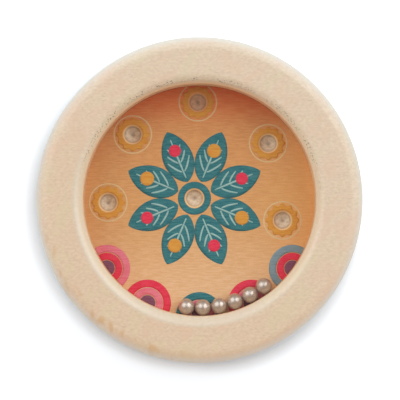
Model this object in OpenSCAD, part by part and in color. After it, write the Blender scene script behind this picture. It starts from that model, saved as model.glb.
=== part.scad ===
// Pocket dexterity puzzle: steel balls roll over a drilled picture board, behind a clear
// window, in a turned wooden ring. Tilting the ring brings each ball to its own pocket.
// The origin is the centre of the ring's back face. +Z points out through the window and
// +Y points up the picture. All lengths are in millimetres and all angles in degrees.

/* [Frame ring] */
// Outside diameter of the wooden ring
frame_d = 60; // [54:0.5:80]
// Width of the wooden rim, from the lip's edge to the outside
rim_w = 8.6; // [7:0.05:11]
// Height of the lip in front of the window
lip_h = 4; // [3:0.1:8]
// Width of the eased band round the lip's front edge
lip_ease_w = 2.3; // [0.8:0.05:2.5]
// Depth of the eased band round the lip's front edge
lip_ease_h = 1.25; // [0.6:0.05:2.5]
// Radius of the curve across that band
lip_ease_r = 3; // [2:0.1:8]
// Width of the eased band round the outer front edge
front_ease_w = 2.2; // [0.8:0.1:3]
// Depth of the eased band round the outer front edge
front_ease_h = 1.5; // [0.6:0.1:3]
// Radius of the curve across that band
front_ease_r = 2.6; // [2.2:0.1:8]
// Rounding of the outer back edge
back_round = 2; // [0.5:0.1:3]
// Bevel at the back mouth of the bore
bore_bevel = 0.4; // [0.2:0.1:1]

/* [Window pane] */
// Thickness of the clear pane
pane_t = 1; // [0.8:0.1:2]

/* [Spacer ring] */
// How far the rolling wall stands back behind the lip's edge
wall_setback = 0.1; // [0:0.1:1]
// Wall thickness of the ring that holds the pane off the board
spacer_wall = 1.6; // [1:0.1:2.5]

/* [Picture board] */
// Thickness of the drilled board
board_t = 3; // [2.5:0.1:5]
// How far the board's back lies inside the ring's back face
board_recess = 0.5; // [0.2:0.1:2]

/* [Pockets] */
// Depth of a pocket's straight wall, with the bevel at its mouth
pocket_wall_h = 0.8; // [0.6:0.1:1.2]
// Width of the bevel round a pocket's mouth
pocket_bevel = 0.3; // [0.1:0.05:0.5]
// Point angle of the drill that leaves a pocket's conical bottom
drill_point = 118; // [90:1:140]

/* [Balls] */
// Diameter of a steel ball
ball_d = 3; // [2.5:0.1:3.5]
// Room between the top of a ball and the pane
head_room = 1.5; // [0.6:0.1:3]
// Where the first ball lies round the rim, counted from the picture's right
ball_start = -97; // [-180:1:180]

/* [Clearances] */
// Gap all round a piece that is pushed into the ring's bore
fit_gap = 0.05; // [0.02:0.01:0.1]
// How much wider a pocket is than a ball
pocket_play = 0.1; // [0.05:0.05:0.4]
// Gap from a ball to the board under it and to the wall beside it
ball_play = 0.1; // [0.05:0.05:0.3]
// Gap between two balls that lie side by side
ball_gap = 0.05; // [0.02:0.01:0.2]

/* [Hidden] */
$fn = 128;

// Each pocket near the rim: its distance in from the rolling wall, and its angle
rim_pockets = [[3, 91], [3.85, 135.2], [4.7, 40], [4.4, 181], [5.55, -13.2]];
// The pocket near the middle of the picture, as x and y
middle_pocket = [-0.95, 0.5];

// Radii: the rim's width sets the lip, and the lip sets what lies behind it
frame_r = frame_d / 2;
lip_r = frame_r - rim_w;
wall_r = lip_r + wall_setback;
insert_r = wall_r + spacer_wall;
bore_r = insert_r + fit_gap;

// Heights, from the back forwards
floor_z = board_recess + board_t;
chamber_h = ball_d + head_room;
pane_z = floor_z + chamber_h;
lip_z = pane_z + pane_t;
frame_h = lip_z + lip_h;

// Pockets
pocket_r = (ball_d + pocket_play) / 2;
pocket_mouth_r = pocket_r + pocket_bevel;
pocket_point_h = pocket_r / tan(drill_point / 2);
pockets = concat([for (p = rim_pockets) polar(wall_r - p[0], p[1])], [middle_pocket]);

// Balls: there are as many as pockets, and they lie in a row against the wall
ball_count = len(pockets);
ball_ring_r = wall_r - ball_play - ball_d / 2;
ball_z = floor_z + ball_play + ball_d / 2;
ball_step = 2 * asin((ball_d + ball_gap) / (2 * ball_ring_r));

// How far a cutting shape runs past the face that it cuts
past = 1;
// How far an eased edge's arc stands out past its ends, so that rounding leaves no sliver there
hair = 0.001;

wood_colour = [0.87, 0.78, 0.68];
pane_colour = [0.85, 0.9, 0.92, 0.3];
spacer_colour = [0.8, 0.68, 0.54];
print_colour = [0.8, 0.56, 0.36];
steel_colour = [0.72, 0.69, 0.65];

// A point at a distance from the centre and an angle from the picture's right
function polar(r, angle) = [r * cos(angle), r * sin(angle)];

// What is cut from a square corner at the origin, in the quarter below and to the left.
// An arc of radius r is left there, from w along the top edge to h down the side.
module eased_corner(w, h, r) {
    chord = norm([w, h]);
    reach = sqrt(r * r - chord * chord / 4) - hair;
    centre = -[w, h] / 2 - reach * [h, w] / chord;
    difference() {
        translate([-w, -h])
            square([w + past, h + past]);
        translate(centre)
            circle(r);
    }
}

// What is cut from the same corner to leave a full quarter round
module rounded_corner(r) {
    translate([-r, -r])
        difference() {
            square(r + past);
            circle(r);
        }
}

// The wooden ring's section: radius to the right, height upwards
module frame_section() {
    difference() {
        translate([lip_r, 0])
            square([rim_w, frame_h]);
        translate([0, -past])
            square([bore_r, lip_z + past]);
        translate([lip_r, frame_h])
            mirror([1, 0])
                eased_corner(lip_ease_w, lip_ease_h, lip_ease_r);
        translate([frame_r, frame_h])
            eased_corner(front_ease_w, front_ease_h, front_ease_r);
        translate([frame_r, 0])
            mirror([0, 1])
                rounded_corner(back_round);
        translate([bore_r, 0])
            rotate(45)
                square(bore_bevel * sqrt(2), center = true);
    }
}

// A blind hole below the origin: bevelled mouth, straight wall and the drill's cone
module pocket_cut() {
    rotate_extrude()
        polygon([
            [0, past],
            [pocket_mouth_r, past],
            [pocket_mouth_r, 0],
            [pocket_r, -pocket_bevel],
            [pocket_r, -pocket_wall_h],
            [0, -pocket_wall_h - pocket_point_h]
        ]);
}

// Turned ring with a lip in front and a plain bore behind it
module frame_ring() {
    color(wood_colour)
        rotate_extrude()
            frame_section();
}

// Clear disc, pushed in from behind until it meets the lip
module window_pane() {
    color(pane_colour)
        translate([0, 0, pane_z])
            cylinder(h = pane_t, r = insert_r);
}

// Hoop between the board and the pane: its inside is the wall that the balls roll along
module spacer_ring() {
    color(spacer_colour)
        translate([0, 0, floor_z])
            rotate_extrude()
                translate([wall_r, 0])
                    square([spacer_wall, chamber_h]);
}

// Printed board with one drilled pocket for each ball, which closes the back
module picture_board() {
    color(print_colour)
        difference() {
            translate([0, 0, board_recess])
                cylinder(h = board_t, r = insert_r);
            for (place = pockets)
                translate([place[0], place[1], floor_z])
                    pocket_cut();
        }
}

// One steel ball in the row at the bottom of the rim, numbered from the row's left end
module ball(number) {
    angle = ball_start + (number - 1) * ball_step;
    color(steel_colour)
        translate(concat(polar(ball_ring_r, angle), [ball_z]))
            sphere(d = ball_d);
}

frame_ring();
window_pane();
spacer_ring();
picture_board();
for (k = [1 : ball_count])
    ball(k);
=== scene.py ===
# %% [markdown]
# # A pocket dexterity puzzle
# A turned wooden ring holds a clear window, and behind the window six steel balls roll over
# a printed board with six drilled pockets. The player tilts the ring until every ball sits in
# a pocket of its own.
#
# The CAD model already holds every piece at its real size. This lesson gives the pieces their
# looks: it measures the CAD meshes, makes smoother surfaces in the same places with numpy, and
# builds a finish for each of them with shader nodes. All lengths are in metres.

import bmesh
import bpy
import numpy as np
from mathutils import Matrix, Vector
from mathutils.geometry import delaunay_2d_cdt


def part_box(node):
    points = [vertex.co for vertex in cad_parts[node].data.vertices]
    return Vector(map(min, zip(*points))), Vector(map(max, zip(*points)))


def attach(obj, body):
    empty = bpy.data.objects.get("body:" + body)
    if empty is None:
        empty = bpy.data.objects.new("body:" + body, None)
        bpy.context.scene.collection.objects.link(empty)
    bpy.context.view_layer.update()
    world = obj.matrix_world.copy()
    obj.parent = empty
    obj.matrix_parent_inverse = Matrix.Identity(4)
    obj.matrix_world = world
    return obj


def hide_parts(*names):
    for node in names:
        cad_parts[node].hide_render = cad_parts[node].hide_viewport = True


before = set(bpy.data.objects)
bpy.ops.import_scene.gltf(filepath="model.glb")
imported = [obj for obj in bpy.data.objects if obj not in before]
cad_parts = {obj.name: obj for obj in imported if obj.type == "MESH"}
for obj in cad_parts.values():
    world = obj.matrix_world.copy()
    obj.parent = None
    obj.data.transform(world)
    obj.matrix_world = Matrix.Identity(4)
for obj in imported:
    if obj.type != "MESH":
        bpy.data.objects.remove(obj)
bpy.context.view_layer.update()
mm = 0.001
print("CAD nodes:", ", ".join(sorted(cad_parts)))

# %% [markdown]
# ## Measuring the CAD meshes
# Sizes could be typed in again, but then the two models would drift apart as soon as one of
# them changed. Reading them from the meshes keeps both in step. The ring is a body of
# revolution, so each of its corners is a radius and a height, and the extremes of these give
# the section: the lip, the flat front, the outer wall and the bore.

# %% Measure the ring
hair = 0.001 * mm


def corners_of(name):
    """All corners of a CAD node's mesh, one row of x, y and z for each."""
    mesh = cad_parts[name].data
    flat = np.empty(3 * len(mesh.vertices), np.float32)
    mesh.vertices.foreach_get("co", flat)
    return flat.reshape(-1, 3).astype(float)


ring_corners = corners_of("frame_ring")
radius = np.hypot(ring_corners[:, 0], ring_corners[:, 1])
height = ring_corners[:, 2]
frame_r = radius.max()
frame_h = height.max()
lip_r = radius.min()
lip_heights = height[radius < lip_r + hair]
lip_z = lip_heights.min()
lip_top = lip_heights.max()
wall_heights = height[radius > frame_r - hair]
wall_low = wall_heights.min()
wall_high = wall_heights.max()
front_radii = radius[height > frame_h - hair]
front_out = front_radii.max()
back_radii = radius[height < hair]
back_in = back_radii.min()
back_out = back_radii.max()
bore_r = radius[np.abs(height - lip_z) < hair].max()
bore_low = height[np.abs(radius - bore_r) < hair].min()
print(f"ring: {2 * frame_r / mm:.1f} mm across, {frame_h / mm:.1f} mm thick")
print(f"opening in the lip: {2 * lip_r / mm:.1f} mm across")

# %% Measure the pieces behind the lip
pane_low, pane_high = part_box("window_pane")
board_low, board_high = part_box("picture_board")
floor_z = board_high.z
insert_r = board_high.x
spacer_corners = corners_of("spacer_ring")
wall_r = np.hypot(spacer_corners[:, 0], spacer_corners[:, 1]).min()

# Above the board's back, its lowest corners are the points of the pockets.
board_corners = corners_of("picture_board")
inside = board_corners[board_corners[:, 2] > board_low.z + hair]
deepest = inside[inside[:, 2] < inside[:, 2].min() + hair]
pocket_places = np.unique(deepest[:, :2].round(6), axis=0)
pocket_places = pocket_places[np.argsort(np.hypot(pocket_places[:, 0], pocket_places[:, 1]))]

# Round one pocket, the mean radius at each height is the outline that the drill left.
pocket_reach = 2 * mm
from_pocket = np.hypot(*(inside[:, :2] - pocket_places[0]).T)
near = from_pocket < pocket_reach
levels, level_of = np.unique(inside[near, 2].round(6), return_inverse=True)
level_r = np.bincount(level_of, from_pocket[near]) / np.bincount(level_of)
pocket_outline = np.column_stack([level_r, levels])
point_z = levels[0]
corner_z, bevel_z = levels[-3:-1]
pocket_mouth_r = level_r[-1]
print(f"{len(pocket_places)} pockets, {2 * pocket_mouth_r / mm:.2f} mm across the mouth")
print("pocket outline in mm:", (pocket_outline / mm).round(2).tolist())

# %% [markdown]
# ## Helpers for surfaces
# Every new surface here is a grid: one direction of the grid runs along an outline, and the
# other runs round an axis or across a motif. A grid is easy to work out with whole arrays and
# easy to turn into quads. Rows that meet, such as the two ends of a circle or all the points
# of a pole, are simply worked out twice and welded afterwards.

# %% Grids, quads and welding
def quads(rows, columns, first=0):
    """The faces of a grid of points, counted row by row: each one joins four neighbours."""
    a = first + np.arange((rows - 1) * columns).reshape(rows - 1, columns)[:, :-1]
    return np.stack([a, a + 1, a + columns + 1, a + columns], axis=-1).reshape(-1, 4)


def revolve(outline, turns=256):
    """Turns rows of radius r and height z round the Z axis: x = r cos a, y = r sin a.
    An outline that goes round anticlockwise, with r to the right, gives faces that look out."""
    angle = np.linspace(0, 2 * np.pi, turns + 1)
    r = outline[:, :1]
    z = outline[:, 1:] + 0 * angle
    return np.stack([r * np.cos(angle), r * np.sin(angle), z], axis=-1)


def piece_from(name, grids, loose=(), smooth_deg=40):
    """Makes one object from grids of points and from loose (points, faces) pairs, welds the
    points that meet, and shades it smooth except at edges sharper than smooth_deg."""
    points = []
    faces = []
    for grid in grids:
        faces += quads(*grid.shape[:2], first=sum(map(len, points))).tolist()
        points.append(grid.reshape(-1, 3))
    for extra_points, extra_faces in loose:
        first = sum(map(len, points))
        faces += [[first + corner for corner in face] for face in extra_faces]
        points.append(extra_points)
    mesh = bpy.data.meshes.new(name)
    mesh.from_pydata(np.concatenate(points).tolist(), [], faces)
    welded = bmesh.new()
    welded.from_mesh(mesh)
    bmesh.ops.remove_doubles(welded, verts=welded.verts, dist=0.1 * hair)
    welded.to_mesh(mesh)
    welded.free()
    mesh.shade_smooth()
    mesh.set_sharp_from_angle(angle=np.radians(smooth_deg))
    piece = bpy.data.objects.new(name, mesh)
    bpy.context.scene.collection.objects.link(piece)
    return piece


def finish_piece(piece, material, body, slot, *nodes):
    """Gives a piece its material and its body, and hides the CAD nodes it stands for. The slot is
    not used.
    """
    piece.data.materials.append(material)
    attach(piece, body)
    if nodes:
        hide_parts(*nodes)
    print(f"{piece.name}: {len(piece.data.polygons)} faces")


# %% [markdown]
# ## Helpers for finishes
# A shader tree is a list of nodes and of wires between their sockets. The helper below makes
# one node in one line: numbers and colours are set on its sockets, and another node's output
# is wired to the socket instead. Patterns read Object coordinates, so they stay in the wood
# when the piece moves, and they are stretched along X because the grain of the ring and of
# the board runs that way.

# %% Node helpers
def add_node(tree, kind, sockets=None, **settings):
    """Adds one node, sets its settings, and fills its sockets with values or with wires."""
    node = tree.nodes.new(kind)
    for name, value in settings.items():
        setattr(node, name, value)
    for name, value in (sockets or {}).items():
        if isinstance(value, bpy.types.NodeSocket):
            tree.links.new(value, node.inputs[name])
        else:
            node.inputs[name].default_value = value
    return node


def new_finish(name):
    """A material with a Principled shader. Returns it with its tree and that shader."""
    material = bpy.data.materials.new(name)
    material.use_nodes = True
    tree = material.node_tree
    return material, tree, tree.nodes["Principled BSDF"]


def object_place(tree):
    """The point's own place on the object, in metres."""
    return add_node(tree, "ShaderNodeTexCoord").outputs["Object"]


def noise(tree, place, size, detail=3, roughness=0.55, offset=0):
    """Cloudy noise whose blobs are about size = (x, y, z) millimetres. Runs from 0 to 1."""
    scale = [1 / (length * mm) for length in size]
    mapping = add_node(tree, "ShaderNodeMapping", {
        "Vector": place,
        "Scale": scale,
        "Location": (offset, offset, offset),
    })
    texture = add_node(tree, "ShaderNodeTexNoise", {
        "Vector": mapping.outputs["Vector"],
        "Scale": 1,
        "Detail": detail,
        "Roughness": roughness,
    })
    return texture.outputs["Fac"]


def ramp(tree, value, low, high):
    """0 at low, 1 at high and a soft step between them. Low may be the greater of the two."""
    step = add_node(tree, "ShaderNodeMapRange", {
        "Value": value,
        "From Min": low,
        "From Max": high,
    }, interpolation_type="SMOOTHSTEP")
    return step.outputs["Result"]


def math(tree, operation, first, second):
    """One sum on one or two values."""
    node = add_node(tree, "ShaderNodeMath", {0: first, 1: second}, operation=operation)
    return node.outputs["Value"]


def blend(tree, share, first, second, kind="MIX"):
    """The first colour at share 0 and the second colour at share 1."""
    node = add_node(tree, "ShaderNodeMix", {0: share, 6: first, 7: second},
                    data_type="RGBA", blend_type=kind)
    return node.outputs[2]


def bump(tree, value, depth, strength=1):
    """A normal that follows value as a relief of that depth in metres."""
    node = add_node(tree, "ShaderNodeBump", {
        "Height": value,
        "Distance": depth,
        "Strength": strength,
    })
    return node.outputs["Normal"]


def colour(red, green, blue):
    """A colour from 0 to 255, as a picture stores it, made linear for the shader."""
    srgb = np.array([red, green, blue]) / 255
    linear = np.where(srgb <= 0.04045, srgb / 12.92, ((srgb + 0.055) / 1.055) ** 2.4)
    return (*linear.tolist(), 1.0)


# %% [markdown]
# ## Camera, light and floor
# The puzzle lies on a white table and is seen from almost straight above. Its steel balls
# mirror two bright fields side by side with a darker gap between them, so the light is two
# softboxes, one on each side of the camera. Both stand towards the top of the picture,
# because the lip throws its shadow on the top of the board, and the right one is stronger,
# because the soft shadow on the table lies at the lower left. They are slightly cool, and the
# pale room round them is warmer on the near side, which tints the edges that face it.
#
# The table is white by its own colour, and it is lifted a little wherever a camera ray or a
# reflection meets it. Round the ring the lift fades out, so the real contact shadow stays, and
# the dim floor left there adds a painted contact shadow to it. The lift fades on two circles,
# one on the far side of each softbox.

# %% Camera
photo_width_px = 400
scale_px = 5.452 / mm
camera_height = 450 * mm
camera_tilt = np.radians(1.5)
target = Vector((0.09 * mm, -0.08 * mm, frame_h))

camera_data = bpy.data.cameras.new("camera")
camera = bpy.data.objects.new("camera", camera_data)
bpy.context.scene.collection.objects.link(camera)
camera.location = target + camera_height * Vector((0, -np.sin(camera_tilt), np.cos(camera_tilt)))
camera.rotation_euler = (camera_tilt, 0, 0)
camera_data.angle = 2 * np.arctan(photo_width_px / scale_px / 2 / camera_height)
bpy.context.scene.camera = camera
bpy.context.scene.view_settings.view_transform = "Standard"
print(f"camera: {np.degrees(camera_data.angle):.2f} degrees wide, {camera_height:.2f} m away")


# %% Softboxes
softbox_distance = 1.6
softbox_width = 1.5
softbox_colour = (0.87, 0.935, 1.0)


def softbox(name, azimuth, elevation, power):
    """A square area lamp at a compass angle from +X and an angle above the table,
    turned so that it shines at the origin."""
    lamp = bpy.data.lights.new(name, "AREA")
    lamp.shape = "SQUARE"
    lamp.size = softbox_width
    lamp.energy = power
    lamp.color = softbox_colour
    box = bpy.data.objects.new(name, lamp)
    a, e = np.radians([azimuth, elevation])
    towards_box = np.array([np.cos(e) * np.cos(a), np.cos(e) * np.sin(a), np.sin(e)])
    box.location = softbox_distance * towards_box
    box.rotation_euler = (-box.location).to_track_quat("-Z", "Y").to_euler()
    bpy.context.scene.collection.objects.link(box)


softbox("right_softbox", azimuth=33, elevation=46, power=15.9)
softbox("left_softbox", azimuth=147, elevation=46, power=13.1)

# %% World
world = bpy.data.worlds.new("studio")
bpy.context.scene.world = world
world.use_nodes = True
sky = world.node_tree
direction = add_node(sky, "ShaderNodeTexCoord").outputs["Generated"]
axes = add_node(sky, "ShaderNodeSeparateXYZ", {"Vector": direction}).outputs
far_side = (0.9, 1.04, 1.1, 1)
near_side = (1.27, 1.22, 1.15, 1)
ceiling = (0.33, 0.3, 0.295, 1)
around = blend(sky, ramp(sky, axes["Y"], -0.8, 0.6), near_side, far_side)
sky_colour = blend(sky, ramp(sky, axes["Z"], 0.05, 0.6), around, ceiling)
sky.links.new(sky_colour, sky.nodes["Background"].inputs["Color"])
print("world: pale all round, dim overhead")

# %% Floor
floor_size = 8.0
floor_mesh = bpy.data.meshes.new("floor")
half = floor_size / 2
floor_mesh.from_pydata([(-half, -half, 0), (half, -half, 0), (half, half, 0), (-half, half, 0)],
                       [], [(0, 1, 2, 3)])
floor = bpy.data.objects.new("floor", floor_mesh)
bpy.context.scene.collection.objects.link(floor)

table_white, tree, shader = new_finish("white_table")
shader.inputs["Base Color"].default_value = (0.82, 0.88, 0.93, 1)
shader.inputs["Roughness"].default_value = 0.9
shader.inputs["Specular IOR Level"].default_value = 0.0
shader.inputs["Emission Color"].default_value = (1, 1, 1, 1)
rays = add_node(tree, "ShaderNodeLightPath").outputs
seen = math(tree, "MAXIMUM", rays["Is Camera Ray"], rays["Is Glossy Ray"])
seen = math(tree, "MAXIMUM", seen, rays["Is Transmission Ray"])
lift_reach = 1.25 * mm


def white_lift(angle_deg, offset):
    """How far the table is lifted: little within a circle whose middle lies offset from the axis in
    one direction and which reaches past the ring on that side, and fully outside it. The dim
    inside of the circle is painted contact shadow."""
    a = np.radians(angle_deg)
    middle = (offset * np.cos(a), offset * np.sin(a), 0)
    away = add_node(tree, "ShaderNodeVectorMath", {0: object_place(tree), 1: middle},
                    operation="DISTANCE")
    circle_r = frame_r + lift_reach - offset
    lift = add_node(tree, "ShaderNodeMapRange", {
        "Value": away.outputs["Value"],
        "From Min": circle_r - 0.4 * mm,
        "From Max": circle_r + 2.1 * mm,
        "To Min": 0.04,
        "To Max": 0.4,
    })
    return lift.outputs["Result"]


# Painted contact shadow: the table's lift is held back on two circles round the ring.
left_lift = white_lift(195, 1.2 * mm)
lower_lift = white_lift(298, 5 * mm)
lift = math(tree, "MINIMUM", left_lift, lower_lift)
tree.links.new(math(tree, "MULTIPLY", seen, lift), shader.inputs["Emission Strength"])
floor_mesh.materials.append(table_white)
print("floor:", floor_size, "m square")

# %% [markdown]
# ## The sanded wood of the ring
# The ring is pale, unvarnished hardwood. Close up it has fine fibres along X, soft patches of
# pinker and yellower wood a few millimetres wide, short dark dashes where a vessel was cut
# along, and faint crossed marks from sanding. It is paler towards the upper right. On the eased
# edge of the lip the cutter tore some fibres, which left small dark flecks. Along the rim a warm
# glow is painted for the orange light that the board throws back, and the lip has a painted
# pale sheen at the lower left, where it faces the lamps. The outer edge is rougher and has tan
# blotches at the lower left; it is painted paler at the top, where it faces the lamps, painted
# browner at the bottom, where it lies in shade, and painted grey for the white table that it
# mirrors, most of all at the front.
#
# A picture of wood would be the quick way, but it would end at a seam; noise in three
# dimensions runs through the wood as real grain does, so the sides and the back match the
# front. What belongs to one side of the ring is placed by direction: the dot product of the
# point with a direction, over its distance from the axis, is 1 on that side and -1 opposite.

# %% Lip band
lip_slope = np.radians(47.5)
lip_crest = lip_r + (frame_h - lip_top) / np.tan(lip_slope)
crest_soft = 0.8 * mm
print(f"lip band: {(lip_crest + crest_soft - lip_r) / mm:.2f} mm wide")


# %% Places on the ring
def from_axis(tree, place):
    """How far the point lies from the Z axis."""
    flat = add_node(tree, "ShaderNodeVectorMath", {0: place, 1: (1, 1, 0)}, operation="MULTIPLY")
    away = add_node(tree, "ShaderNodeVectorMath", {0: flat.outputs["Vector"]}, operation="LENGTH")
    return away.outputs["Value"]


def along(tree, place, angle_deg):
    """How far the point lies from the Z axis in one direction, counted from +X."""
    a = np.radians(angle_deg)
    dot = add_node(tree, "ShaderNodeVectorMath", {0: place, 1: (np.cos(a), np.sin(a), 0)},
                   operation="DOT_PRODUCT")
    return dot.outputs["Value"]


def towards(tree, place, angle_deg):
    """1 where the point lies in that direction from the axis, and -1 where it lies opposite."""
    return math(tree, "DIVIDE", along(tree, place, angle_deg), from_axis(tree, place))


def turned(tree, place, angle_deg):
    """The same place measured in axes that are turned about Z."""
    turn = add_node(tree, "ShaderNodeVectorRotate",
                    {"Vector": place, "Angle": -np.radians(angle_deg)}, rotation_type="Z_AXIS")
    return turn.outputs["Vector"]


# %% Wood finish
def sanded_wood():
    """Pale hardwood: specks of fibre, faint long grain, slow patches of tint, a few dark dashes
    and crossed sanding marks, then the tints of its two eased edges."""
    material, tree, shader = new_finish("sanded_hardwood")
    place = object_place(tree)
    away = from_axis(tree, place)
    specks = noise(tree, place, (0.75, 0.42, 0.42), detail=3, roughness=0.65)
    fibres = noise(tree, place, (5, 0.3, 0.3), detail=4, roughness=0.6, offset=3)
    patches = noise(tree, turned(tree, place, 45), (6, 3, 3), detail=2, offset=11)
    vessels = noise(tree, place, (1.3, 0.16, 0.16), detail=1, offset=23)

    wood = blend(tree, ramp(tree, specks, 0.3, 0.7), colour(232, 208, 178), colour(218, 192, 160))
    wood = tinted(tree, wood, colour(222, 206, 166), ramp(tree, patches, 0.5, 0.3), 0.45)
    wood = tinted(tree, wood, colour(228, 192, 162), ramp(tree, patches, 0.48, 0.68), 0.5)
    wood = tinted(tree, wood, colour(212, 184, 152), ramp(tree, fibres, 0.4, 0.75), 0.28)
    wood = tinted(tree, wood, colour(172, 138, 104), ramp(tree, vessels, 0.68, 0.76), 0.35)
    for angle_deg in (42, -48):
        marks = noise(tree, turned(tree, place, angle_deg), (3, 0.14, 0.14), detail=1, offset=29)
        wood = tinted(tree, wood, colour(240, 222, 196), ramp(tree, marks, 0.6, 0.74), 0.3)
    # The whole ring is made a shade darker towards the lower left.
    darker_to_lower_left = ramp(tree, along(tree, place, 55), 0.8 * frame_r, -0.8 * frame_r)
    wood = blend(tree, darker_to_lower_left, wood, colour(255, 249, 244), "MULTIPLY")
    outside = ramp(tree, away, front_out - 0.4 * mm, frame_r - 0.3 * mm)
    wood = lip_tints(tree, outer_tints(tree, wood, place, away, outside), place, away)

    tree.links.new(wood, shader.inputs["Base Color"])
    smooth = add_node(tree, "ShaderNodeMapRange", {"Value": fibres, "To Min": 0.32, "To Max": 0.44})
    rough = math(tree, "ADD", smooth.outputs["Result"], math(tree, "MULTIPLY", outside, 0.28))
    tree.links.new(rough, shader.inputs["Roughness"])
    shader.inputs["Specular IOR Level"].default_value = 1.0
    tree.links.new(bump(tree, specks, 0.02 * mm, 0.5), shader.inputs["Normal"])
    return material


def tinted(tree, wood, tint, *shares):
    """Mixes a tint into the wood, by the product of the shares."""
    share = shares[0]
    for other in shares[1:]:
        share = math(tree, "MULTIPLY", share, other)
    return blend(tree, share, wood, tint)


def outer_tints(tree, wood, place, away, outside):
    """The outer edge: a painted paler light at the picture's top, a painted browner shade at its
    bottom, tan blotches at the lower left, and a painted grey reflection of the white table that
    fades from the front edge down the wall."""
    up = towards(tree, place, 90)
    # Painted light on the top of the edge, which faces the lamps, and painted shade on its bottom.
    wood = tinted(tree, wood, colour(238, 228, 212), outside, ramp(tree, up, 0.2, 1), 0.3)
    wood = tinted(tree, wood, colour(222, 184, 146), outside, ramp(tree, up, -0.2, -1), 0.45)
    blotches = ramp(tree, noise(tree, place, (1.2, 2.6, 2.6), detail=0, offset=47), 0.5, 0.7)
    lower_left = ramp(tree, towards(tree, place, 230), 0.72, 0.95)
    band = ramp(tree, away, front_out - 0.6 * mm, front_out + 0.4 * mm)
    z = add_node(tree, "ShaderNodeSeparateXYZ", {"Vector": place}).outputs["Z"]
    front = ramp(tree, z, wall_high - 0.8 * mm, wall_high + 0.4 * mm)
    wood = tinted(tree, wood, colour(214, 164, 104), blotches, lower_left, band, front, 0.55)
    # Painted reflection: the white table mirrored as grey in the edge, fading down the wall.
    edge = ramp(tree, away, frame_r - 1.3 * mm, frame_r - 0.2 * mm)
    table_reflection_height = ramp(tree, z, wall_low, wall_high + 0.8 * mm)
    return tinted(tree, wood, colour(218, 222, 218), table_reflection_height, edge, 0.38)


def lip_tints(tree, wood, place, away):
    """The lip: brown in its own shade at the top, a painted pale sheen at the lower left, yellower
    at the sides, a painted warm glow of the board's orange light along the rim that is widest
    at the top, and torn flecks along its upper half."""
    lip = ramp(tree, away, lip_crest + 0.3 * mm, lip_crest - 0.4 * mm)
    up = towards(tree, place, 90)
    sides = math(tree, "ABSOLUTE", towards(tree, place, 0), 0)
    shaded = ramp(tree, away, lip_crest - 0.2 * mm, lip_crest - 0.8 * mm)
    wood = tinted(tree, wood, colour(204, 168, 128), shaded, ramp(tree, up, 0.45, 1), 0.75)
    # Painted highlight: a pale sheen on the band at the lower left, where it faces the lamps.
    lower_left = ramp(tree, towards(tree, place, 235), -0.2, 0.7)
    painted_sheen = math(tree, "MULTIPLY", ramp(tree, away, lip_r + 0.05 * mm, lip_r + 0.5 * mm),
                ramp(tree, away, lip_crest + 1.2 * mm, lip_crest + 0.5 * mm))
    wood = tinted(tree, wood, colour(222, 211, 189), painted_sheen, lower_left, 0.45)
    wood = tinted(tree, wood, colour(238, 206, 162), lip, ramp(tree, sides, 0.3, 0.9), 0.35)
    # Painted bounce light: a warm glow of the board's orange along the rim, widest at the top.
    rim_r = add_node(tree, "ShaderNodeMapRange", {
        "Value": up,
        "From Min": -0.6,
        "From Max": 1,
        "To Min": lip_r + 0.05 * mm,
        "To Max": lip_r + 0.6 * mm,
    })
    rim = ramp(tree, away, rim_r.outputs["Result"], lip_r)
    wood = tinted(tree, wood, colour(234, 182, 134), rim, 0.8)
    torn = ramp(tree, noise(tree, place, (0.36, 0.28, 0.28), detail=2, offset=31), 0.55, 0.64)
    clusters = ramp(tree, noise(tree, place, (2, 2, 2), detail=1, offset=41), 0.3, 0.48)
    inner = ramp(tree, away, lip_r + 0.3 * mm, lip_r + 0.7 * mm)
    outer = ramp(tree, away, lip_crest + 0.25 * mm, lip_crest - 0.15 * mm)
    upper = ramp(tree, towards(tree, place, 85), 0.1, 0.4)
    return tinted(tree, wood, colour(92, 80, 56), torn, clusters, inner, outer, upper, 0.75)


wood_finish = sanded_wood()
print("finish:", wood_finish.name)

# %% [markdown]
# ## The turned ring
# The ring's section is a block with a lip at the front. The outer front edge was eased by an
# arc that leaves the flat smoothly: one that drops by d within a width w has the radius
# (w^2 + d^2) / 2d. The lip was cut to a cone whose crest is rounded over a millimetre and a
# half. The section is carried round the Z axis, which is what turning does. Corners also get
# a tiny curve, since sanded wood has no perfectly sharp edge and a small curve catches the
# light.

# %% Outline helpers
def arc(start, end, bend_r, steps=20):
    """Points from start to end on a circle of radius bend_r whose centre lies to the left:
    the middle of the chord, moved left by the square root of bend_r^2 - (chord / 2)^2."""
    start = np.array(start)
    end = np.array(end)
    chord = end - start
    length = np.hypot(*chord)
    left = np.array([-chord[1], chord[0]]) / length
    centre = (start + end) / 2 + left * np.sqrt(bend_r**2 - length**2 / 4)
    first = np.arctan2(*(start - centre)[::-1])
    last = np.arctan2(*(end - centre)[::-1])
    angle = np.linspace(first, first + (last - first) % (2 * np.pi), steps)
    return centre + bend_r * np.column_stack([np.cos(angle), np.sin(angle)])


def soften(outline, reach, steps=9):
    """Replaces each corner C of a closed outline that turns over 5 degrees by the curve
    (1-t)^2 A + 2t(1-t) C + t^2 B, where A and B lie reach before and after it. Reach is one
    length, or one for each corner."""
    into = outline - np.roll(outline, 1, axis=0)
    out = np.roll(outline, -1, axis=0) - outline
    into_length = np.hypot(*into.T)[:, None]
    out_length = np.hypot(*out.T)[:, None]
    into = into / into_length
    out = out / out_length
    corner = (into * out).sum(axis=1) < np.cos(np.radians(5))
    before = outline - into * np.minimum(reach, 0.48 * into_length)
    after = outline + out * np.minimum(reach, 0.48 * out_length)
    t = np.linspace(0, 1, steps)[:, None]
    curves = ((1 - t) ** 2 * a + 2 * t * (1 - t) * c + t**2 * b if turns else c[None]
              for a, b, c, turns in zip(before, after, outline, corner))
    return np.concatenate(list(curves))


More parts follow.
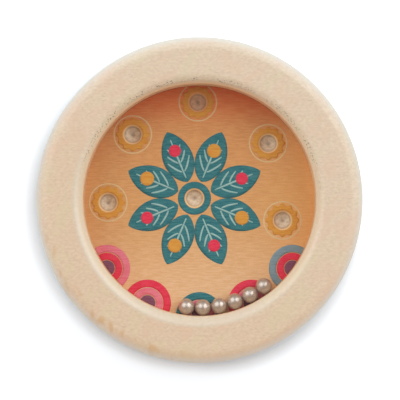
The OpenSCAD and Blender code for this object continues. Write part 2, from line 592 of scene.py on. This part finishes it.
def close(outline):
    """Repeats the first point at the end, so that the outline comes back to where it began."""
    return np.concatenate([outline, outline[:1]])


# %% Ring
ring_turns = 360
edge_soft = 0.15 * mm
wide = frame_r - front_out
deep = frame_h - wall_high
outer_bend = (wide**2 + deep**2) / (2 * deep)
section = np.concatenate([
    [(back_in, 0)],
    arc((back_out, 0), (frame_r, wall_low), wall_low),
    arc((frame_r, wall_high), (front_out, frame_h), outer_bend),
    [(lip_crest, frame_h), (lip_r, lip_top), (lip_r, lip_z), (bore_r, lip_z), (bore_r, bore_low)],
])
reach = np.where(section[:, :1] == lip_crest, crest_soft, edge_soft)
ring = piece_from("turned_ring", [revolve(close(soften(section, reach)), ring_turns)])
finish_piece(ring, wood_finish, "case", "frame_wood", "frame_ring")

# %% [markdown]
# ## Ink on a wooden board
# The board is thin plywood, printed straight on the wood, so its fine grain lines run through
# every colour. One helper makes the ink of any colour: the grain is the same noise in the same
# place for all of them, so a line in the ground goes on through a motif. The ground fades from
# rust at the top to a paler orange below and at the right, partly in the print and partly as
# painted light: painted shade under the lip at the top, painted light below and at the right.
# The pockets were drilled after printing and show bare wood, and so does the back.

# %% Ink finish
def grain_lines(tree, place):
    """Short fine lines along X, about a quarter of a millimetre wide, between 0 and 1."""
    lines = noise(tree, place, (2.2, 0.26, 0.5), detail=3, roughness=0.65, offset=5)
    return ramp(tree, lines, 0.38, 0.62)


def cloudy(tree, place):
    """Slow changes of tone over a few millimetres, between 0 and 1."""
    return noise(tree, place, (5, 3, 3), detail=3, offset=17)


def ink_sheen(tree, shader, lines):
    """Ink is dull, and the grain under it stays as a faint relief."""
    shader.inputs["Roughness"].default_value = 0.62
    shader.inputs["Specular IOR Level"].default_value = 0.25
    tree.links.new(bump(tree, lines, 0.015 * mm, 0.4), shader.inputs["Normal"])


def printed_ink(name, thick, thin):
    """Ink whose colour is thick where it lies full and thin where a grain line shows through."""
    material, tree, shader = new_finish(name)
    place = object_place(tree)
    lines = grain_lines(tree, place)
    tone = math(tree, "MULTIPLY", cloudy(tree, place), 0.3)
    ink = blend(tree, math(tree, "ADD", math(tree, "MULTIPLY", lines, 0.7), tone),
                colour(*thick), colour(*thin))
    tree.links.new(ink, shader.inputs["Base Color"])
    ink_sheen(tree, shader, lines)
    return material


def pocket_wood(tree, place, z):
    """What the drill left: a tan bevel at the mouth and a mottled cone, with painted shade in the
    corner where the straight wall meets the cone and at the cone's darker point. Height alone
    tells these apart."""
    mottle = ramp(tree, noise(tree, place, (0.6, 0.5, 0.6), detail=3, offset=37), 0.35, 0.65)
    wood = blend(tree, mottle, colour(246, 223, 192), colour(226, 195, 161))
    # Painted shade: darker in the corner at the foot of the wall and at the cone's point.
    corner = math(tree, "MULTIPLY", ramp(tree, z, corner_z - 0.25 * mm, corner_z), 0.5)
    wood = blend(tree, corner, wood, colour(170, 120, 72))
    point = math(tree, "MULTIPLY", ramp(tree, z, point_z + 0.4 * mm, point_z), 0.55)
    wood = blend(tree, point, wood, colour(150, 118, 88))
    bevel = ramp(tree, z, bevel_z - 0.02 * mm, bevel_z + 0.05 * mm)
    return blend(tree, bevel, wood, colour(252, 206, 146))


def board_finish():
    """Bare plywood on the back, drilled wood in the pockets, and on the face a ground of orange
    ink that fades from rust at the picture's top, through amber, to a paler orange below and at
    the right. The ground is partly print and partly painted light: painted shade of the lip at
    the top, painted light at the right and below."""
    material, tree, shader = new_finish("printed_plywood")
    place = object_place(tree)
    axes = add_node(tree, "ShaderNodeSeparateXYZ", {"Vector": place}).outputs
    lines = grain_lines(tree, place)
    clouds = cloudy(tree, place)

    bare = blend(tree, lines, colour(252, 238, 216), colour(238, 216, 186))
    bare = blend(tree, math(tree, "MULTIPLY", clouds, 0.4), bare, colour(250, 228, 198))

    # Painted shade: the lip shades the top of the board, reddened by its orange light, and the pockets
    # there too.
    upper = ramp(tree, axes["Y"], 0.58 * wall_r, 0.95 * wall_r)
    drilled = pocket_wood(tree, place, axes["Z"])
    painted_lip_shade = math(tree, "MULTIPLY", upper, 0.5)
    drilled = blend(tree, painted_lip_shade, drilled, colour(240, 176, 116), "MULTIPLY")
    in_pocket = math(tree, "GREATER_THAN", axes["Z"], point_z - 2 * hair)
    bare = blend(tree, in_pocket, bare, drilled)

    # Partly print, partly painted light: amber and rust for the lip's shade, paler at the right and
    # below.
    middle = ramp(tree, axes["Y"], 0, 0.6 * wall_r)
    lower = ramp(tree, axes["Y"], 0, -0.9 * wall_r)
    right = math(tree, "MULTIPLY", ramp(tree, axes["X"], 0.45 * wall_r, wall_r), 0.8)
    full = blend(tree, lower, colour(226, 158, 90), colour(240, 184, 128))
    full = blend(tree, middle, full, colour(224, 148, 82))
    full = blend(tree, right, full, colour(250, 178, 100))
    full = blend(tree, upper, full, colour(246, 120, 54))
    thin = blend(tree, lower, colour(240, 177, 112), colour(250, 204, 156))
    thin = blend(tree, middle, thin, colour(238, 168, 102))
    thin = blend(tree, right, thin, colour(254, 192, 116))
    thin = blend(tree, upper, thin, colour(252, 148, 80))
    share = math(tree, "ADD", math(tree, "MULTIPLY", lines, 0.75), math(tree, "MULTIPLY", clouds, 0.25))
    ink = blend(tree, share, full, thin)

    on_face = math(tree, "GREATER_THAN", axes["Z"], floor_z - 2 * hair)
    tree.links.new(blend(tree, on_face, bare, ink), shader.inputs["Base Color"])
    ink_sheen(tree, shader, lines)
    return material


plywood_finish = board_finish()
print("finish:", plywood_finish.name)

# %% [markdown]
# ## The drilled board
# A disc with round holes isn't a grid, so its face is filled in another way: the rim and the
# mouths of the pockets are closed loops of points, and a constrained triangulation fills the
# space between them. Each pocket is its outline turned round its own axis, and it shares the
# loop at its mouth, so the weld makes one closed board.

# %% Board
rim_turns = 240
mouth_turns = 64


def loop(place, loop_r, turns):
    """Points on a circle round place, one row of x and y for each."""
    angle = np.linspace(0, 2 * np.pi, turns, endpoint=False)
    return np.array(place) + loop_r * np.column_stack([np.cos(angle), np.sin(angle)])


def holed_face(loops, z):
    """Fills the first loop with triangles at height z, less those whose middle lies in a hole."""
    flat = np.concatenate(loops)
    ends = np.cumsum([len(one) for one in loops])
    starts = ends - [len(one) for one in loops]
    edges = np.concatenate([
        np.column_stack([np.arange(a, b), np.roll(np.arange(a, b), -1)])
        for a, b in zip(starts, ends)
    ])
    filled = delaunay_2d_cdt([Vector(p) for p in flat], edges.tolist(), [], 1, 0.01 * hair)
    points = np.array([(p.x, p.y, z) for p in filled[0]])
    faces = np.array(filled[2])
    middles = points[faces].mean(axis=1)[:, :2]
    away = np.linalg.norm(middles[:, None] - pocket_places, axis=-1).min(axis=1)
    return points, faces[away > pocket_mouth_r].tolist()


mouths = [loop(place, pocket_mouth_r, mouth_turns) for place in pocket_places]
face = holed_face([loop((0, 0), insert_r, rim_turns)] + mouths, floor_z)
shifts = np.column_stack([pocket_places, np.zeros(len(pocket_places))])
drilled = [revolve(pocket_outline, mouth_turns) + shift for shift in shifts]
shell = np.array([(0, board_low.z), (insert_r, board_low.z), (insert_r, floor_z)])
board = piece_from("printed_board", [revolve(shell, rim_turns)] + drilled, [face], smooth_deg=25)
finish_piece(board, plywood_finish, "case", "printed_board", "picture_board")

# %% [markdown]
# ## Printed motifs
# The print is a plain folk design: a rosette of teal leaves round the middle pocket, fans
# along the lower rim, and a scalloped target round each of the other pockets. Each motif is a
# formula on a grid of two parameters, one along it and one across it. Motifs of one ink are
# one object, and a Solidify modifier gives the ink a film thickness, so an upper ink really
# lies on a lower one.

# %% Motif shapes
motif_rows = 5
motif_turns = 97


def leaf(place, angle_deg, start, end, half_width):
    """A pointed leaf: t runs along it, s across it, and its width is t^0.7 (1-t)^0.8."""
    t = np.linspace(0, 1, 33)[:, None]
    s = np.linspace(1, -1, 9)[None, :]
    width = t**0.7 * (1 - t) ** 0.8
    forward = start + (end - start) * t + 0 * s
    sideways = half_width * s * width / width.max()
    a = np.radians(angle_deg)
    x = place[0] + forward * np.cos(a) - sideways * np.sin(a)
    y = place[1] + forward * np.sin(a) + sideways * np.cos(a)
    return x, y


def disc(place, inner, outer, scallops=0, depth=0):
    """A disc with a hole of radius inner, out to the radius outer + depth cos(scallops * angle)."""
    a = np.radians(np.linspace(0, 360, motif_turns))[None, :]
    s = np.linspace(1, 0, motif_rows)[:, None]
    edge = outer + depth * np.cos(scallops * a)
    r = inner + (edge - inner) * s
    return place[0] + r * np.cos(a), place[1] + r * np.sin(a)


def stroke(x, y, width):
    """A ribbon of that width along a line of points, with its ends drawn to a point."""
    t = np.linspace(0, 1, len(x))
    slope = np.gradient(np.column_stack([x, y]), axis=0)
    slope = slope / np.hypot(*slope.T)[:, None]
    half = 0.5 * width * np.sin(np.pi * np.clip(0.06 + 0.88 * t, 0, 1)) ** 0.35
    s = np.linspace(1, -1, 3)
    return (x[:, None] - slope[:, 1:] * half[:, None] * s,
            y[:, None] + slope[:, :1] * half[:, None] * s)


def polar(r, angle_deg, place=(0, 0)):
    """The point at a distance and an angle from place."""
    a = np.radians(angle_deg)
    return np.array([place[0] + r * np.cos(a), place[1] + r * np.sin(a)])


film = 0.015 * mm


def ink_film(name, motifs, level, thick, thin):
    """Joins motifs of one ink in one object that lies on the board, level films up."""
    z = floor_z + hair + level * (film + hair)
    grids = [np.stack([x, y, np.full_like(x, z)], axis=-1) for x, y in motifs]
    piece = piece_from(name, grids)
    solid = piece.modifiers.new("film", "SOLIDIFY")
    solid.thickness = film
    solid.offset = 1
    finish_piece(piece, printed_ink(name, thick, thin), "case", "printed_board")


# %% Leaf rosette
middle = pocket_places[0]
pocket_gap = 0.03 * mm
leaf_count = 8
leaf_angles = 22.5 + np.arange(leaf_count) * 360 / leaf_count
collar_r = 3.1 * mm
leaf_start = 3.3 * mm
leaf_end = 13.4 * mm
leaf_half_width = 2.85 * mm

teal = [leaf(middle, a, leaf_start, leaf_end, leaf_half_width) for a in leaf_angles]
teal.append(disc(middle, pocket_mouth_r + pocket_gap, collar_r))
print(f"rosette: {leaf_count} leaves, {2 * leaf_end / mm:.1f} mm across")

# %% Leaf veins
vein_w = 0.34 * mm
vein_starts = np.array([5.4, 7.2, 9.0]) * mm
vein_lean = np.radians(38)
vein_share = 0.24
vein_gap = 0.25 * mm


def veins(place, angle_deg):
    """A midrib and three pairs of side veins, curved towards the leaf's tip."""
    t = np.linspace(0, 1, 13)
    lines = [(np.linspace(leaf_start + 0.8 * mm, leaf_end - 1.6 * mm, 25), np.zeros(25))]
    for start in vein_starts:
        reach = (leaf_end - start) * vein_share * t
        for side in (-1, 1):
            forward = start + reach / np.tan(vein_lean) * (0.6 + 0.4 * t)
            lines.append((forward, side * (vein_gap + reach)))
    a = np.radians(angle_deg)
    return [stroke(place[0] + u * np.cos(a) - v * np.sin(a),
                   place[1] + u * np.sin(a) + v * np.cos(a), vein_w) for u, v in lines]


aqua = [line for a in leaf_angles for line in veins(middle, a)]
ink_film("aqua_ink", aqua, 1, (150, 192, 184), (176, 206, 196))

# %% Fans along the lower rim
fan_angles = np.array([-144, -117, -90, -63, -36])
fan_r = 4.4 * mm
fan_base_r = wall_r - pocket_gap
fan_bands = np.array([0.34, 0.66, 1.0]) * fan_r
band_gap = 0.1 * mm


def fan_band(angle_deg, which):
    """One band of a fan that stands on the rim and opens towards the middle. A circle of radius r
    round a point of the rim meets the rim at arccos(r / 2R) to both sides of that direction."""
    inner = 0 if which == 0 else fan_bands[which - 1] + band_gap
    r = np.linspace(fan_bands[which], inner, motif_rows)[:, None]
    opening = np.arccos(r / (2 * fan_base_r))
    a = np.radians(angle_deg + 180) + opening * np.linspace(-1, 1, motif_turns)
    place = polar(fan_base_r, angle_deg)
    return place[0] + r * np.cos(a), place[1] + r * np.sin(a)


pink_fan, red_fan, teal_fan, other_red_fan, grey_fan = fan_angles
teal.append(fan_band(teal_fan, 2))
red = [fan_band(a, 2) for a in (red_fan, other_red_fan)]
red += [fan_band(a, 1) for a in (pink_fan, grey_fan)]
pink = [fan_band(a, 1) for a in (red_fan, teal_fan, other_red_fan)] + [fan_band(pink_fan, 2)]
ink_film("teal_ink", teal, 0, (6, 104, 112), (64, 135, 136))
ink_film("pink_ink", pink, 0, (240, 108, 128), (246, 140, 152))
ink_film("blue_grey_ink", [fan_band(grey_fan, 2)], 0, (122, 148, 158), (148, 166, 172))
ink_film("plum_ink", [fan_band(a, 0) for a in fan_angles], 0, (124, 62, 92), (146, 88, 108))

# %% Dots on the rosette
dot_r = 1.15 * mm
large_dot_r = 1.15 * dot_r
dot_ring_r = 9.6 * mm
red += [disc(polar(dot_ring_r, a, middle), 0, dot_r) for a in leaf_angles[0::2]]
ink_film("red_ink", red, 2, (236, 26, 66), (246, 62, 88))

# %% Targets round the pockets
target_r = 2.95 * mm
scallop_count = 12
scallop_depth = 0.22 * mm
ring_in = 3.4 * mm
ring_out = 3.62 * mm
targets = pocket_places[1:]
mustard = [disc(p, pocket_mouth_r + pocket_gap, target_r, scallop_count, scallop_depth)
           for p in targets]
mustard += [disc(polar(dot_ring_r, a, middle), 0, large_dot_r) for a in leaf_angles[1::2]]
ink_film("mustard_ink", mustard, 2, (226, 144, 38), (236, 168, 64))
cream = [disc(p, ring_in, ring_out) for p in targets]
ink_film("cream_ink", cream, 0, (238, 200, 140), (240, 208, 156))

# %% [markdown]
# ## The hoop behind the lip
# A thin wooden hoop holds the window off the board, and the balls roll along its inside. The
# lip hides most of it from above, but it shows through the window from a low angle. It is plain
# pale wood with fibres that run along the hoop, and its lower part is painted orange for the
# board's light and the lip's shade, most of all at the picture's top. A hoop could be a
# cylinder with a thickness, but a closed outline turned round the axis also gives its softened
# edges.

# %% Hoop
def hoop_finish():
    """Thin wood: fibres squeezed in height, so they run round the hoop, and on its lower part a
    painted orange shade for the board's light and the lip's shade, strongest at the picture's top."""
    material, tree, shader = new_finish("hoop_wood")
    place = object_place(tree)
    fibres = noise(tree, place, (5, 5, 0.25), detail=4, roughness=0.6, offset=7)
    clouds = noise(tree, place, (6, 6, 2), detail=2, offset=13)
    wood = blend(tree, ramp(tree, fibres, 0.3, 0.7), colour(250, 230, 202), colour(238, 212, 180))
    wood = blend(tree, math(tree, "MULTIPLY", clouds, 0.35), wood, colour(250, 232, 206))
    z = add_node(tree, "ShaderNodeSeparateXYZ", {"Vector": place}).outputs["Z"]
    # Painted shade and bounce light: the lower part darkens to orange, strongest at the top.
    painted_shade_height = ramp(tree, z, floor_z + 2.6 * mm, floor_z + 1.8 * mm)
    top = ramp(tree, towards(tree, place, 90), 0.4, 0.9)
    painted_shade_colour = blend(tree, top, colour(246, 214, 172), colour(216, 128, 68))
    wood = blend(tree, painted_shade_height, wood, painted_shade_colour, "MULTIPLY")
    tree.links.new(wood, shader.inputs["Base Color"])
    shader.inputs["Roughness"].default_value = 0.6
    shader.inputs["Specular IOR Level"].default_value = 0.3
    tree.links.new(bump(tree, fibres, 0.02 * mm, 0.5), shader.inputs["Normal"])
    return material


hoop_soft = 0.1 * mm
hoop_section = np.array([
    (wall_r, floor_z),
    (insert_r, floor_z),
    (insert_r, pane_low.z),
    (wall_r, pane_low.z),
])
hoop = piece_from("spacer_hoop", [revolve(close(soften(hoop_section, hoop_soft)), rim_turns)])
finish_piece(hoop, hoop_finish(), "case", "spacer_wood", "spacer_ring")

# %% [markdown]
# ## Steel balls
# The balls are stock bearing balls of polished steel. Their looks come almost wholly from what
# they mirror: the softboxes above, the wood of the lip beside them and the orange board below.
# A half circle turned round the Z axis makes each ball, and its two ends weld to poles. Play
# leaves a fine haze of scuffs, which scatters a part of the light instead of mirroring it. So
# the roughness wanders a little, and the shader is not quite fully metallic.

# %% Balls
def steel_finish():
    """Polished steel with a wandering roughness and hair-fine scuffs."""
    material, tree, shader = new_finish("polished_steel")
    place = object_place(tree)
    scuffs = noise(tree, place, (0.9, 0.12, 0.5), detail=4, roughness=0.7)
    steel = blend(tree, ramp(tree, scuffs, 0.35, 0.7), colour(218, 202, 188), colour(202, 186, 171))
    tree.links.new(steel, shader.inputs["Base Color"])
    shader.inputs["Metallic"].default_value = 0.78
    rough = add_node(tree, "ShaderNodeMapRange", {"Value": scuffs, "To Min": 0.3, "To Max": 0.38})
    tree.links.new(rough.outputs["Result"], shader.inputs["Roughness"])
    return material


steel = steel_finish()
ball_rows = 41
ball_turns = 80
half_turn = np.linspace(-np.pi / 2, np.pi / 2, ball_rows)
for node in sorted(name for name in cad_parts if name.startswith("ball_")):
    low, high = (np.array(corner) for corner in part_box(node))
    centre = (low + high) / 2
    ball_r = (high - low)[2] / 2
    half_circle = ball_r * np.column_stack([np.cos(half_turn), np.sin(half_turn)])
    half_circle[[0, -1], 0] = 0
    ball = piece_from("steel_" + node, [revolve(half_circle, ball_turns) + centre])
    finish_piece(ball, steel, node, "ball_steel", node)

# %% [markdown]
# ## The window
# The window is a flat disc of clear plastic, glued or pressed behind the lip. Real glass shaders
# bend light, but through a thin flat pane nothing is visibly bent, and they would leave the
# board in shadow. A transparent shader with a faint haze and a mirror that grows at low angles
# shows the same window and lets the lamps through. The mirror's share is Schlick's rule: a
# fortieth part head on, and the rest by the fifth power of how far the face turns away.

# %% Window pane
def window_finish():
    """Clear plastic: see-through, with a faint haze, and a mirror that grows at low angles."""
    material = bpy.data.materials.new("clear_plastic")
    material.use_nodes = True
    tree = material.node_tree
    tree.nodes.remove(tree.nodes["Principled BSDF"])
    place = object_place(tree)
    dust = noise(tree, place, (3, 3, 3), detail=5, roughness=0.7)
    clear = add_node(tree, "ShaderNodeBsdfTransparent", {"Color": (0.985, 0.99, 0.988, 1)})
    veil = add_node(tree, "ShaderNodeBsdfDiffuse", {"Color": (0.9, 0.9, 0.9, 1)})
    haze = add_node(tree, "ShaderNodeMapRange", {"Value": dust, "To Min": 0.002, "To Max": 0.006})
    hazy = add_node(tree, "ShaderNodeMixShader", {
        0: haze.outputs["Result"],
        1: clear.outputs["BSDF"],
        2: veil.outputs["BSDF"],
    })
    mirror = add_node(tree, "ShaderNodeBsdfGlossy", {"Roughness": 0.04})
    turn_away = add_node(tree, "ShaderNodeLayerWeight", {"Blend": 0.5}).outputs["Facing"]
    rise = math(tree, "MULTIPLY", math(tree, "POWER", turn_away, 5), 0.96)
    share = math(tree, "ADD", rise, 0.025)
    both = add_node(tree, "ShaderNodeMixShader", {
        0: share,
        1: hazy.outputs["Shader"],
        2: mirror.outputs["BSDF"],
    })
    tree.links.new(both.outputs["Shader"], tree.nodes["Material Output"].inputs["Surface"])
    return material


pane_edge = 0.12 * mm
pane_r = pane_high.x
pane_section = np.array([
    (0, pane_low.z),
    (pane_r - pane_edge, pane_low.z),
    (pane_r, pane_low.z + pane_edge),
    (pane_r, pane_high.z - pane_edge),
    (pane_r - pane_edge, pane_high.z),
    (0, pane_high.z),
])
pane = piece_from("clear_window", [revolve(pane_section, rim_turns)], smooth_deg=20)
finish_piece(pane, window_finish(), "case", "clear_pane", "window_pane")
